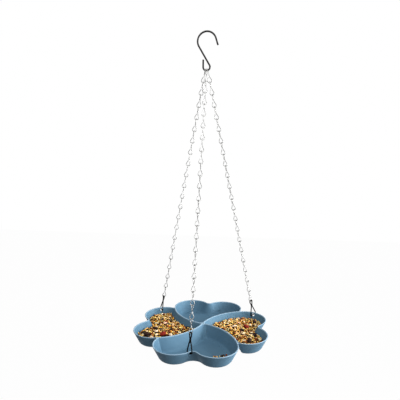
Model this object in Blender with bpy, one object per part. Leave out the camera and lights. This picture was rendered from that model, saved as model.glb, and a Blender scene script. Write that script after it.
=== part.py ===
"""Hanging bird feeder: a clover dish of four bowls on three jack chains and one S-hook.

Units are metres, with +Z up. The origin is where the hook's crook bears on whatever holds it up.
The front bowl points to -Y, the right bowl to +X.
"""

import math

import bmesh
import bpy
from mathutils import Matrix, Vector

# Running gap between pieces that only touch
CLEARANCE = 0.0003

# Clover dish, seen from above
BOWL_COUNT = 4
LOBE_REACH = 0.0945
LOBE_SPREAD = 0.0380
LOBE_RADIUS = 0.0420
NOTCH_RADIUS = 0.0090
SHARED_WALL_START = math.radians(76)
SHARED_WALL_END = math.radians(98)
SHARED_WALL_PULL = 0.0415
CENTRE_ROUND = 0.0035

# Clover dish, in section
DISH_DEPTH = 0.0280
WALL_THICKNESS = 0.0026
WALL_FLARE = math.radians(26)
FLOOR_THICKNESS = 0.0028
FLOOR_FILLET = 0.0080

# Holes for the end rings, just under the rim
HOLE_DROP = 0.0052
HOLE_RADIUS = 0.0030
REAR_HOLE_ANGLE = math.radians(67)
FRONT_HOLE_SHARE = 0.75

# Jack chain
LINK_COUNT = 21
LINK_PITCH = 0.0240
LINK_WIRE = 0.0015
LINK_WIDTH = 0.0080
JOINED_PAIRS = 4
JOINED_OVERLAP = 0.0004

# End rings
RING_LENGTH = 0.0360
RING_WIRE = 0.0019
RING_TOP_WIDTH = 0.0070
RING_WAIST_DROP = 0.0130
RING_WIDTH = 0.0174
RING_CORNER = 0.0030
RING_TURNS = {"front": math.radians(6), "left": math.radians(6), "right": math.radians(-18)}

# S-hook
HOOK_WIRE = 0.0034
CROOK_RADIUS = 0.0185
BEND_RADIUS = 0.0068
CROOK_TO_BEND = 0.0487
CROOK_OPEN_ANGLE = math.radians(18)
CROOK_TIP_LENGTH = 0.0135
BEND_ARM_LENGTH = 0.0135

# Seed mix in the left and right bowls
SEED_DROP = 0.0115
SEED_CROWN = 0.0055
CROWN_TOP_SHARE = 0.36
MOUND_SPACING = 0.0170
MOUND_HEIGHT = 0.0035

# Facets
WALL_STEPS = 9
LOBE_STEPS = 11
NOTCH_STEPS = 4
FILLET_STEPS = 2
MIX_STEPS = 7
HOLE_SIDES = 16
HOOK_SIDES = 8
WIRE_SIDES = 6
SMOOTH_ANGLE = math.radians(40)

# Worked out from the sizes above
BOWL_TURN = 2 * math.pi / BOWL_COUNT
CAVITY_DEPTH = DISH_DEPTH - FLOOR_THICKNESS
LINK_LENGTH = LINK_PITCH + LINK_WIRE + CLEARANCE
BEND_BOTTOM = HOOK_WIRE / 2 - CROOK_RADIUS - CROOK_TO_BEND - BEND_RADIUS


def clear_scene():
    for item in list(bpy.data.objects):
        bpy.data.objects.remove(item, do_unlink=True)


def material(name, colour, roughness, metallic):
    made = bpy.data.materials.new(name)
    made.use_nodes = True
    shader = made.node_tree.nodes["Principled BSDF"]
    shader.inputs["Base Color"].default_value = (*colour, 1.0)
    shader.inputs["Roughness"].default_value = roughness
    shader.inputs["Metallic"].default_value = metallic
    return made


def empty(name, location, parent=None, rotation=(0.0, 0.0, 0.0)):
    made = bpy.data.objects.new(name, None)
    bpy.context.scene.collection.objects.link(made)
    made.parent = parent
    made.location = location
    made.rotation_euler = rotation
    return made


def add_piece(name, mesh, finish, parent=None, matrix=None):
    """One named object of the feeder, which may share its mesh with its copies."""
    piece = bpy.data.objects.new(name, mesh)
    bpy.context.scene.collection.objects.link(piece)
    if not mesh.materials:
        mesh.materials.append(finish)
    mesh.shade_smooth()
    mesh.set_sharp_from_angle(angle=SMOOTH_ANGLE)
    piece.parent = parent
    piece.matrix_local = matrix or Matrix.Identity(4)
    return piece


def mesh_from(name, points, faces):
    shape = bmesh.new()
    corners = [shape.verts.new(point) for point in points]
    for face in faces:
        shape.faces.new([corners[i] for i in face])
    bmesh.ops.recalc_face_normals(shape, faces=shape.faces)
    mesh = bpy.data.meshes.new(name)
    shape.to_mesh(mesh)
    shape.free()
    return mesh


def combine(name, base, others, operation):
    """The mesh that is left when the others are joined to the base, or cut out of it."""
    scene = bpy.context.scene.collection.objects
    body = bpy.data.objects.new(name, base)
    scene.link(body)
    tools = []
    for other in others:
        tool = bpy.data.objects.new(name + "_tool", other)
        scene.link(tool)
        tools.append(tool)
        cut = body.modifiers.new("cut", "BOOLEAN")
        cut.operation = operation
        cut.solver = "EXACT"
        cut.object = tool
    depsgraph = bpy.context.evaluated_depsgraph_get()
    made = bpy.data.meshes.new_from_object(body.evaluated_get(depsgraph))
    made.name = name
    for item in [body, *tools]:
        bpy.data.objects.remove(item, do_unlink=True)
    return made


def arc(centre, radius, start, end, steps):
    """Points on an arc in a plane, from the start angle to the end angle."""
    points = []
    for step in range(steps + 1):
        angle = start + (end - start) * step / steps
        points.append(centre + radius * Vector((math.cos(angle), math.sin(angle))))
    return points


def loft(name, rings):
    """A closed body through rings of equal count, with a flat cap at each end."""
    count = len(rings[0])
    points = [point for ring in rings for point in ring]
    faces = [tuple(range(count)), tuple(range(len(points) - count, len(points)))]
    for ring in range(len(rings) - 1):
        low = ring * count
        for i in range(count):
            j = (i + 1) % count
            faces.append((low + i, low + j, low + count + j))
            faces.append((low + i, low + count + j, low + count + i))
    return mesh_from(name, points, faces)


def wire(name, path, diameter, sides, closed):
    """Round wire along a path, with its section set square to each bend."""
    count = len(path)
    side = None
    points = []
    frames = []
    for i, here in enumerate(path):
        before = path[i - 1] if closed or i else here
        after = path[(i + 1) % count] if closed or i + 1 < count else here
        along = ((here - before).normalized() + (after - here).normalized()).normalized()
        if side is None:
            side = along.orthogonal()
        side = (side - along * side.dot(along)).normalized()
        frames.append((along, side))
    slip = 0.0
    if closed:
        along, first = frames[0]
        last = frames[-1][1]
        last = (last - along * last.dot(along)).normalized()
        slip = math.atan2(first.cross(last).dot(along), first.dot(last))
    for i, (along, across) in enumerate(frames):
        twist = Matrix.Rotation(-slip * i / count, 3, along)
        across = twist @ across
        other = along.cross(across)
        for k in range(sides):
            turn = 2 * math.pi * k / sides
            points.append(path[i] + (across * math.cos(turn) + other * math.sin(turn)) * diameter / 2)
    faces = []
    for i in range(count if closed else count - 1):
        for k in range(sides):
            here, there = i * sides, (i + 1) % count * sides
            faces.append((here + k, here + (k + 1) % sides, there + (k + 1) % sides, there + k))
    if not closed:
        faces.append(tuple(range(sides)))
        faces.append(tuple(range((count - 1) * sides, count * sides)))
    return mesh_from(name, points, faces)


def turned(point, angle):
    return Matrix.Rotation(angle, 2) @ point


def shared_wall(share):
    """A point on the curved wall on a bowl's left side, from the centre (0) to its lobe (1)."""
    end = Vector((LOBE_REACH, LOBE_SPREAD))
    end += LOBE_RADIUS * Vector((math.cos(SHARED_WALL_END), math.sin(SHARED_WALL_END)))
    leave = SHARED_WALL_PULL * Vector((math.cos(SHARED_WALL_START), math.sin(SHARED_WALL_START)))
    arrive = end + SHARED_WALL_PULL * Vector((-math.sin(SHARED_WALL_END), math.cos(SHARED_WALL_END)))
    rest = 1 - share
    return 3 * rest * rest * share * leave + 3 * rest * share * share * arrive + share**3 * end


def split_share():
    """How far along its right-hand wall a bowl's own lobe parts from the next bowl."""
    lobe = Vector((LOBE_REACH, -LOBE_SPREAD))
    outside, inside = 1.0, 0.7
    for _ in range(40):
        middle = (outside + inside) / 2
        if (turned(shared_wall(middle), -BOWL_TURN) - lobe).length > LOBE_RADIUS:
            outside = middle
        else:
            inside = middle
    return inside


def notch_centre():
    return LOBE_REACH + math.sqrt((LOBE_RADIUS + NOTCH_RADIUS) ** 2 - LOBE_SPREAD**2)


def bowl_outline():
    """The middle of a bowl's wall at the rim, anticlockwise from beside the dish's centre."""
    left_lobe = Vector((LOBE_REACH, LOBE_SPREAD))
    right_lobe = Vector((LOBE_REACH, -LOBE_SPREAD))
    notch = Vector((notch_centre(), 0.0))
    lean = math.atan2(LOBE_SPREAD, notch.x - LOBE_REACH)
    start = CENTRE_ROUND / (3 * SHARED_WALL_PULL)
    split = split_share()
    parting = turned(shared_wall(split), -BOWL_TURN) - right_lobe
    shares = [start + (split - start) * i / WALL_STEPS for i in range(WALL_STEPS)]
    points = [turned(shared_wall(share), -BOWL_TURN) for share in shares]
    points += arc(right_lobe, LOBE_RADIUS, math.atan2(parting.y, parting.x), lean, LOBE_STEPS)
    points += arc(notch, NOTCH_RADIUS, math.pi + lean, math.pi - lean, NOTCH_STEPS)[1:-1]
    points += arc(left_lobe, LOBE_RADIUS, -lean, SHARED_WALL_END, LOBE_STEPS)
    points += [shared_wall(1 - (1 - start) * i / WALL_STEPS) for i in range(1, WALL_STEPS + 1)]
    return points


def gap_to(outline, point):
    """The shortest way from a point to a closed outline."""
    least = math.inf
    for i, start in enumerate(outline):
        run = outline[(i + 1) % len(outline)] - start
        share = min(max((point - start).dot(run) / run.length_squared, 0.0), 1.0)
        least = min(least, (point - start - run * share).length)
    return least


def inset(outline, distance):
    """The outline moved inward, point for point, with its corners cut where they run past each other."""
    count = len(outline)
    moved = []
    for i, here in enumerate(outline):
        before = (here - outline[i - 1]).normalized()
        after = (outline[(i + 1) % count] - here).normalized()
        first = Vector((-before.y, before.x))
        second = Vector((-after.y, after.x))
        moved.append(here + (first + second) * distance / (1 + first.dot(second)))
    kept = [distance <= 0 or gap_to(outline, point) > distance * 0.999 for point in moved]
    for i in range(count):
        if kept[i]:
            continue
        back = next(k for k in range(1, count) if kept[i - k])
        ahead = next(k for k in range(1, count) if kept[(i + k) % count])
        moved[i] = moved[i - back].lerp(moved[(i + ahead) % count], back / (back + ahead))
    return moved


def wall_profile(start, depth, fillet):
    """Depth and inset down one face of a wall that leans in from the rim and rounds into the floor."""
    centre = start + (fillet + (depth - fillet) * math.sin(WALL_FLARE)) / math.cos(WALL_FLARE)
    levels = []
    for step in range(FILLET_STEPS + 1):
        angle = WALL_FLARE + (math.pi / 2 - WALL_FLARE) * step / FILLET_STEPS
        levels.append((depth - fillet * (1 - math.sin(angle)), centre - fillet * math.cos(angle)))
    return levels


def raised(flat, depth, angle):
    """A flat ring at one depth, turned to its bowl's place in the clover."""
    spun = [turned(point, angle) for point in flat]
    return [Vector((point.x, point.y, -depth)) for point in spun]


def bowl_body(outline, angle):
    half = WALL_THICKNESS / 2
    levels = [(-WALL_THICKNESS, -half), (0.0, -half)]
    levels += wall_profile(-half, DISH_DEPTH, FLOOR_FILLET + WALL_THICKNESS)
    return loft("bowl", [raised(inset(outline, distance), depth, angle) for depth, distance in levels])


def hollow_levels(outline):
    """Depth and flat ring of each level of a bowl's inside: rim, seed line, wall foot, floor."""
    half = WALL_THICKNESS / 2
    levels = [(0.0, half), (SEED_DROP, half + SEED_DROP * math.tan(WALL_FLARE))]
    levels += wall_profile(half, CAVITY_DEPTH, FLOOR_FILLET)
    return [(depth, inset(outline, distance)) for depth, distance in levels]


def bowl_hollow(levels, angle):
    above = (-2 * WALL_THICKNESS, levels[0][1])
    return loft("hollow", [raised(flat, depth, angle) for depth, flat in [above, *levels]])


def mound_dip(point):
    """How far the seed mix dips between its mounds, which lie on a triangular lattice: from 0 to 1."""
    wave = 4 * math.pi / (math.sqrt(3) * MOUND_SPACING)
    ways = [Vector((math.cos(turn), math.sin(turn), 0.0)) for turn in (0.0, math.pi / 3, 2 * math.pi / 3)]
    return (3 - sum(math.cos(wave * way.dot(point)) for way in ways)) / 4.5


def seed_bed(name, levels, angle):
    """Seed mix lying in one bowl, a clearance away from its wall and floor: a low crown of small mounds."""
    gap = CLEARANCE / math.cos(WALL_FLARE)
    rings = [raised(inset(flat, gap), depth - CLEARANCE, angle) for depth, flat in levels[1:]]
    edge = rings[0]
    middle = sum(edge, Vector()) / len(edge)
    for step in range(1, MIX_STEPS):
        share = 1 - step / MIX_STEPS
        crown = SEED_CROWN * (1 - max(share, CROWN_TOP_SHARE) ** 2)
        ring = [middle.lerp(point, share) for point in edge]
        dips = [mound_dip(middle if step == MIX_STEPS - 1 else point) for point in ring]
        rings.insert(0, [p + Vector((0.0, 0.0, crown - MOUND_HEIGHT * dip)) for p, dip in zip(ring, dips)])
    return loft(name, rings)


def hole_places():
    """Each ring hole's middle and its outward direction, in the dish's own frame."""
    inward = HOLE_DROP * math.tan(WALL_FLARE)
    reach = LOBE_RADIUS - inward
    lobe_side = reach * Vector((math.cos(REAR_HOLE_ANGLE), math.sin(REAR_HOLE_ANGLE)))
    rear = Vector((LOBE_REACH, LOBE_SPREAD)) + lobe_side
    notch = notch_centre()
    flank = FRONT_HOLE_SHARE * math.atan2(LOBE_SPREAD, notch - LOBE_REACH)
    reach_in = NOTCH_RADIUS + inward
    front = Vector((-reach_in * math.sin(flank), reach_in * math.cos(flank) - notch, -HOLE_DROP))
    places = {}
    places["front"] = (front, flank - math.pi / 2)
    places["right"] = (Vector((rear.x, rear.y, -HOLE_DROP)), REAR_HOLE_ANGLE)
    places["left"] = (Vector((-rear.x, rear.y, -HOLE_DROP)), math.pi - REAR_HOLE_ANGLE)
    return places


def cylinder(name, radius, length, sides, matrix):
    shape = bmesh.new()
    bmesh.ops.create_cone(shape, cap_ends=True, segments=sides, radius1=radius, radius2=radius, depth=length)
    bmesh.ops.transform(shape, matrix=matrix, verts=shape.verts)
    mesh = bpy.data.meshes.new(name)
    shape.to_mesh(mesh)
    shape.free()
    return mesh


def hole_cutter(place, heading):
    lie = Matrix.Rotation(heading, 4, "Z") @ Matrix.Rotation(math.pi / 2, 4, "Y")
    return cylinder("hole", HOLE_RADIUS, 8 * WALL_THICKNESS, HOLE_SIDES, Matrix.Translation(place) @ lie)


def dish_mesh(outline, levels):
    """Four bowls and the boss where their walls meet, hollowed, cut level at the rim and drilled."""
    turns = [BOWL_TURN * i for i in range(BOWL_COUNT)]
    bodies = [bowl_body(outline, turn) for turn in turns]
    boss = cylinder("boss", CENTRE_ROUND, 3 * WALL_THICKNESS, HOLE_SIDES, Matrix.Rotation(0.1, 4, "Z"))
    joined = combine("clover", bodies[0], [*bodies[1:], boss], "UNION")
    hollowed = combine("clover_open", joined, [bowl_hollow(levels, turn) for turn in turns], "DIFFERENCE")
    reach = 2 * (LOBE_REACH + LOBE_SPREAD + LOBE_RADIUS)
    above = Matrix.Translation((0.0, 0.0, DISH_DEPTH))
    tools = [cylinder("above_rim", reach, 2 * DISH_DEPTH, 4, above)]
    tools += [hole_cutter(place, heading) for place, heading in hole_places().values()]
    return combine("clover_dish", hollowed, tools, "DIFFERENCE")


def hook_path():
    """The S-hook's centre line in its own plane, from the crook's tip to the arm of the lower bend."""
    crook = Vector((0.0, BEND_BOTTOM + BEND_RADIUS + CROOK_TO_BEND))
    bend = Vector((0.0, BEND_BOTTOM + BEND_RADIUS))
    lean = math.asin((CROOK_RADIUS + BEND_RADIUS) / CROOK_TO_BEND)
    tip_run = Vector((math.sin(CROOK_OPEN_ANGLE), -math.cos(CROOK_OPEN_ANGLE))) * CROOK_TIP_LENGTH
    over = arc(crook, CROOK_RADIUS, CROOK_OPEN_ANGLE, math.pi + lean, 16)
    under = arc(bend, BEND_RADIUS, lean, -math.pi, 14)
    arm = under[-1] + Vector((0.0, BEND_ARM_LENGTH))
    flat = [over[0] + tip_run, *over, *under, arm]
    return [Vector((point.x, 0.0, point.y)) for point in flat]


def loop_half(width, across):
    """One side of a loop's rounded end, from its short straight bar to its widest point."""
    bar, widest = math.radians(20), math.pi / 2
    points = []
    for angle in (bar, (bar + widest) / 2, widest):
        drop = width / 2 * (math.cos(bar) - math.cos(angle))
        points.append(across * (width / 2 * math.sin(angle)) - Vector((0.0, 0.0, drop)))
    return points


def link_path():
    """A jack chain link: one wire with a loop at each end, the lower square to the upper one."""
    waist = (LINK_WIRE + CLEARANCE) / 2 * 1.1
    deep, wide = Vector((0.0, 1.0, 0.0)), Vector((1.0, 0.0, 0.0))
    bottom = Vector((0.0, 0.0, -LINK_LENGTH))
    upper = loop_half(LINK_WIDTH, deep)
    lower = [bottom + wide * point.y - Vector((0.0, 0.0, point.z)) for point in upper]
    middle = (deep + wide).normalized() * waist - Vector((0.0, 0.0, LINK_LENGTH / 2))
    near = [*upper, middle, *lower[::-1]]
    mirror = Matrix.Diagonal((-1.0, -1.0, 1.0))
    far = [mirror @ point for point in near]
    return [*near, *far[::-1]]


def ring_path():
    """An end ring: a small upper loop, a waist, and a long lower loop with a straight bar."""
    waist = (RING_WIRE + CLEARANCE) / 2 * 1.1
    upper = loop_half(RING_TOP_WIDTH, Vector((0.0, 1.0, 0.0)))
    middle = Vector((0.0, waist, -RING_WAIST_DROP))
    half = RING_WIDTH / 2
    slope = Vector((0.0, half - waist, RING_WAIST_DROP - RING_LENGTH)).normalized()
    corner = Vector((0.0, half, -RING_LENGTH))
    lower = [corner - slope * RING_CORNER, corner - Vector((0.0, RING_CORNER, 0.0))]
    near = [*upper, middle, *lower]
    mirror = Matrix.Diagonal((1.0, -1.0, 1.0))
    far = [mirror @ point for point in near]
    return [*near, *far[::-1]]


def chain_starts():
    """Where each chain's top wire crosses the hook's lower bend, seen from the bend's lowest point."""
    lift = HOOK_WIRE / 2 + CLEARANCE + LINK_WIRE / 2
    spacing = LINK_WIRE + 1.5 * CLEARANCE
    rise = BEND_RADIUS - math.sqrt(BEND_RADIUS**2 - spacing**2)
    return {
        "front": Vector((0.0, 0.0, lift)),
        "left": Vector((-spacing, 0.0, lift + rise)),
        "right": Vector((spacing, 0.0, lift + rise)),
    }


def link_offsets():
    """How far down its chain each node of links hangs: single links first, then the joined pairs."""
    offsets = []
    down = 0.0
    singles = LINK_COUNT - 2 * JOINED_PAIRS
    for number in range(1, singles + 1):
        offsets.append((f"link_{number:02d}", number, down))
        down += LINK_PITCH
    for number in range(singles + 1, LINK_COUNT + 1, 2):
        offsets.append((f"links_{number:02d}_{number + 1:02d}", number, down))
        down += 2 * LINK_PITCH + CLEARANCE + JOINED_OVERLAP
    return offsets, down


def dish_place(chain_length, grips):
    """Where three equal chains hold the dish level: its middle, seen from the bend's lowest point."""
    starts = chain_starts()
    back, drop = 0.0, chain_length
    for _ in range(60):
        front_foot = starts["front"].z - grips["front"].z
        side_foot = starts["right"].z - grips["right"].z
        front_reach = math.hypot(grips["front"].x, grips["front"].y + back)
        drop = math.sqrt(chain_length**2 - front_reach**2) - front_foot
        side = chain_length**2 - (grips["right"].x - starts["right"].x) ** 2 - (drop + side_foot) ** 2
        back += (math.sqrt(max(side, 0.0)) - grips["right"].y - back) / 2
    return Vector((0.0, back, -drop))


def chain_frame(start, grip, heading, share):
    """A link's frame: Z up the chain, X across it, eased round to face the wall it ends at."""
    up = (start - grip).normalized()
    across = Vector((1.0, 0.0, 0.0))
    across = (across - up * across.dot(up)).normalized()
    facing = heading if heading > 0 else heading + math.pi
    turn = (facing - math.pi / 2) * share
    across = Matrix.Rotation(turn, 3, up) @ across
    return Matrix((across, up.cross(across), up)).transposed()


def build():
    clear_scene()
    blue = material("dusty_blue_plastic", (0.16, 0.30, 0.45), 0.5, 0.0)
    steel = material("bright_steel_wire", (0.62, 0.62, 0.60), 0.3, 1.0)
    dark_wire = material("dark_steel_wire", (0.07, 0.075, 0.08), 0.45, 1.0)
    gunmetal = material("gunmetal_bar", (0.10, 0.10, 0.11), 0.4, 1.0)
    seed_mix = material("seed_mix", (0.62, 0.42, 0.18), 0.8, 0.0)

    add_piece("s_hook", wire("s_hook", hook_path(), HOOK_WIRE, HOOK_SIDES, False), gunmetal)

    offsets, ring_offset = link_offsets()
    chain_length = ring_offset + LINK_WIRE / 2 - RING_WIRE / 2 + RING_LENGTH
    seat = Vector((0.0, 0.0, HOLE_RADIUS - RING_WIRE / 2 - 3 * CLEARANCE))
    holes = hole_places()
    grips = {side: place + seat for side, (place, heading) in holes.items()}
    dish_middle = dish_place(chain_length, grips)

    # The dish's weight swings its middle in under the hook, which tips the dish a little forward
    tilt = math.atan2(-dish_middle.y, -dish_middle.z)
    bend = Vector((0.0, 0.0, BEND_BOTTOM))
    swing = empty("swing_on_hook", bend, rotation=(tilt, 0.0, 0.0))
    twist = empty("twist_below_hook", (0.0, 0.0, 0.0), swing)

    outline = bowl_outline()
    levels = hollow_levels(outline)
    at_dish = Matrix.Translation(dish_middle)
    add_piece("clover_dish", dish_mesh(outline, levels), blue, twist, at_dish)
    for side, angle in (("right", 0.0), ("left", math.pi)):
        name = f"{side}_seed_bed"
        add_piece(name, seed_bed(name, levels, angle), seed_mix, twist, at_dish)

    link = wire("link", link_path(), LINK_WIRE, WIRE_SIDES, True)
    lower = wire("lower_link", link_path(), LINK_WIRE, WIRE_SIDES, True)
    pair_step = LINK_PITCH + CLEARANCE + JOINED_OVERLAP
    lower.transform(Matrix.Translation((0.0, 0.0, -pair_step)))
    pair = combine("link_pair", link.copy(), [lower], "UNION")
    ring = wire("end_ring", ring_path(), RING_WIRE, WIRE_SIDES, True)
    for side, start in chain_starts().items():
        heading = holes[side][1]
        grip = dish_middle + grips[side]
        down = (grip - start).normalized()
        for name, number, offset in offsets:
            frame = chain_frame(start, grip, heading, (number - 1) / LINK_COUNT).to_4x4()
            place = Matrix.Translation(start + down * offset) @ frame
            parent = swing if number == 1 else twist
            mesh = link if name.startswith("link_") else pair
            add_piece(f"{side}_chain_{name}", mesh, steel, parent, place)
        frame = chain_frame(start, grip, heading, 1.0).to_4x4() @ Matrix.Rotation(RING_TURNS[side], 4, "Z")
        top = start + down * (chain_length - RING_LENGTH)
        add_piece(f"{side}_end_ring", ring, dark_wire, twist, Matrix.Translation(top) @ frame)


build()
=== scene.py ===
"""Looks of the hanging bird feeder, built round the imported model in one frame: metres, +Z up."""

import math
from collections import namedtuple

import bmesh
import bpy
import numpy as np
from mathutils import Matrix, Vector


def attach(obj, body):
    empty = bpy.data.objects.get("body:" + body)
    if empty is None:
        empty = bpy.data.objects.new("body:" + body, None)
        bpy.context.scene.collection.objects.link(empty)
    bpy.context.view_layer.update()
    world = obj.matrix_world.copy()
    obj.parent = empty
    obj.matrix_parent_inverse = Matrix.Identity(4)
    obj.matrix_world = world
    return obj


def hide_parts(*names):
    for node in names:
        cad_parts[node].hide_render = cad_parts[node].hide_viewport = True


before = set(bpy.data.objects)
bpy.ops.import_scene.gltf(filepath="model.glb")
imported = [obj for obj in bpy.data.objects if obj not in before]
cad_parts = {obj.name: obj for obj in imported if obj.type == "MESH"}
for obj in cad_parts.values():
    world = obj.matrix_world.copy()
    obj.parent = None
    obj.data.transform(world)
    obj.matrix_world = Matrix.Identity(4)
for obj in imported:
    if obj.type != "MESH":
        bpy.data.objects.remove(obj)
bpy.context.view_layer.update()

MM = 0.001

# Sizes shared with the CAD source
CLEARANCE = 0.0003
LOBE_REACH, LOBE_SPREAD, LOBE_RADIUS, NOTCH_RADIUS = 0.0945, 0.0380, 0.0420, 0.0090
WALL_START, WALL_END, WALL_PULL = math.radians(76), math.radians(98), 0.0415
DISH_DEPTH, WALL_THICKNESS, FLOOR_THICKNESS, FLOOR_FILLET = 0.0280, 0.0026, 0.0028, 0.0080
FLARE = math.radians(26)
CENTRE_ROUND, CENTRE_DEPTH = 0.0035, 1.5 * WALL_THICKNESS
CAVITY_DEPTH = DISH_DEPTH - FLOOR_THICKNESS
NOTCH_REACH = LOBE_REACH + math.sqrt((LOBE_RADIUS + NOTCH_RADIUS) ** 2 - LOBE_SPREAD**2)
NOTCH_LEAN = math.atan2(LOBE_SPREAD, NOTCH_REACH - LOBE_REACH)
HOLE_DROP, HOLE_RADIUS = 0.0052, 0.0030
REAR_HOLE_ANGLE, FRONT_HOLE_SHARE = math.radians(67), 0.75
SEED_DROP, SEED_CROWN, MOUND_SPACING, MOUND_HEIGHT = 0.0115, 0.0055, 0.0170, 0.0035

LINK_COUNT, LINK_PITCH, LINK_WIRE, LINK_WIDTH = 21, 0.0240, 0.0015, 0.0080
LINK_LENGTH = LINK_PITCH + LINK_WIRE + CLEARANCE
# The links are drawn a little finer than the solids' wire, and the end rings a little thicker
DRAWN_WIRE, DRAWN_RING = 0.0012, 0.0024
JOINED_PAIRS, JOINED_OVERLAP = 4, 0.0004
SINGLE_LINKS = LINK_COUNT - 2 * JOINED_PAIRS
PAIR_STEP = LINK_PITCH + CLEARANCE + JOINED_OVERLAP
RING_LENGTH, RING_WIRE, RING_TOP_WIDTH, RING_WIDTH = 0.0360, 0.0019, 0.0070, 0.0174
RING_WAIST_DROP, RING_CORNER = 0.0130, 0.0030
RING_TURNS = {"front": math.radians(6), "left": math.radians(6), "right": math.radians(-18)}
CHAIN_LENGTH = (SINGLE_LINKS + JOINED_PAIRS) * LINK_PITCH + JOINED_PAIRS * PAIR_STEP
CHAIN_LENGTH += (LINK_WIRE - RING_WIRE) / 2 + RING_LENGTH

HOOK_WIRE, CROOK_RADIUS, BEND_RADIUS, CROOK_TO_BEND = 0.0034, 0.0185, 0.0068, 0.0487
CROOK_OPEN_ANGLE, CROOK_TIP_LENGTH, BEND_ARM_LENGTH = math.radians(18), 0.0135, 0.0135
BEND_BOTTOM = HOOK_WIRE / 2 - CROOK_RADIUS - CROOK_TO_BEND - BEND_RADIUS
BOWL_ANGLES = {"right": 0.0, "back": math.pi / 2, "left": math.pi, "front": 1.5 * math.pi}


# How the chains hang and where they hold the dish, seen from the lowest point of the hook's bend
HANG_ROUNDS = 60


def hole_places():
    """Each ring hole's middle and outward direction, in the dish's own frame."""
    inward = HOLE_DROP * math.tan(FLARE)
    across = LOBE_REACH + (LOBE_RADIUS - inward) * math.cos(REAR_HOLE_ANGLE)
    back = LOBE_SPREAD + (LOBE_RADIUS - inward) * math.sin(REAR_HOLE_ANGLE)
    flank = FRONT_HOLE_SHARE * NOTCH_LEAN
    reach = NOTCH_RADIUS + inward
    front = Vector((-reach * math.sin(flank), reach * math.cos(flank) - NOTCH_REACH, -HOLE_DROP))
    return {
        "front": (front, flank - math.pi / 2),
        "left": (Vector((-across, back, -HOLE_DROP)), math.pi - REAR_HOLE_ANGLE),
        "right": (Vector((across, back, -HOLE_DROP)), REAR_HOLE_ANGLE),
    }


def chain_starts():
    """Where each chain's top wire crosses the hook's bend."""
    lift = HOOK_WIRE / 2 + CLEARANCE + LINK_WIRE / 2
    spacing = LINK_WIRE + 1.5 * CLEARANCE
    rise = BEND_RADIUS - math.sqrt(BEND_RADIUS**2 - spacing**2)
    return {
        "front": Vector((0.0, 0.0, lift)),
        "left": Vector((-spacing, 0.0, lift + rise)),
        "right": Vector((spacing, 0.0, lift + rise)),
    }


def dish_place(starts, grips):
    """The dish's middle where three equal chains hold it level."""
    back, drop = 0.0, CHAIN_LENGTH
    front_foot = starts["front"].z - grips["front"].z
    side_foot = starts["right"].z - grips["right"].z
    apart = grips["right"].x - starts["right"].x
    for _ in range(HANG_ROUNDS):
        front_reach = math.hypot(grips["front"].x, grips["front"].y + back)
        drop = math.sqrt(CHAIN_LENGTH**2 - front_reach**2) - front_foot
        behind = math.sqrt(CHAIN_LENGTH**2 - apart**2 - (drop + side_foot) ** 2)
        back += (behind - grips["right"].y - back) / 2
    return Vector((0.0, back, -drop))


HOLES = hole_places()
STARTS = chain_starts()
SEAT = Vector((0.0, 0.0, HOLE_RADIUS - RING_WIRE / 2 - 3 * CLEARANCE))
GRIPS = {side: place + SEAT for side, (place, _) in HOLES.items()}
DISH_MIDDLE = dish_place(STARTS, GRIPS)
HANG_TILT = math.atan2(-DISH_MIDDLE.y, -DISH_MIDDLE.z)
HANGING = Matrix.Translation((0.0, 0.0, BEND_BOTTOM)) @ Matrix.Rotation(HANG_TILT, 4, "X")
AT_DISH = HANGING @ Matrix.Translation(DISH_MIDDLE)


# Objects
CAP_STEPS = 3


def put(name, mesh, finish, body, matrix=None, replaced=()):
    """One piece of the feeder: it rides on a body and wears the finish it is given."""
    piece = bpy.data.objects.new(name, mesh)
    bpy.context.scene.collection.objects.link(piece)
    mesh.materials.clear()
    mesh.materials.append(finish)
    mesh.shade_smooth()
    if matrix is not None:
        piece.matrix_world = matrix
    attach(piece, body)
    if replaced:
        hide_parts(*replaced)


def mesh_of(name, points, faces):
    """A mesh from points and faces."""
    mesh = bpy.data.meshes.new(name)
    mesh.from_pydata([tuple(p) for p in points], [], faces)
    mesh.update()
    return mesh


def through(points, steps):
    """A smooth closed curve through the points: centripetal Catmull-Rom, sampled evenly in each span."""
    count = len(points)
    found = []
    for i in range(count):
        p0, p1, p2, p3 = (points[(i + k) % count] for k in (-1, 0, 1, 2))
        k1 = (p1 - p0).length ** 0.5
        k2 = k1 + (p2 - p1).length ** 0.5
        k3 = k2 + (p3 - p2).length ** 0.5
        for s in range(steps):
            t = k1 + (k2 - k1) * s / steps
            a1 = p0 * ((k1 - t) / k1) + p1 * (t / k1)
            a2 = p1 * ((k2 - t) / (k2 - k1)) + p2 * ((t - k1) / (k2 - k1))
            a3 = p2 * ((k3 - t) / (k3 - k2)) + p3 * ((t - k2) / (k3 - k2))
            b1 = a1 * ((k2 - t) / k2) + a2 * (t / k2)
            b2 = a2 * ((k3 - t) / (k3 - k1)) + a3 * ((t - k1) / (k3 - k1))
            found.append(b1 * ((k2 - t) / (k2 - k1)) + b2 * ((t - k1) / (k2 - k1)))
    return found


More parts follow.
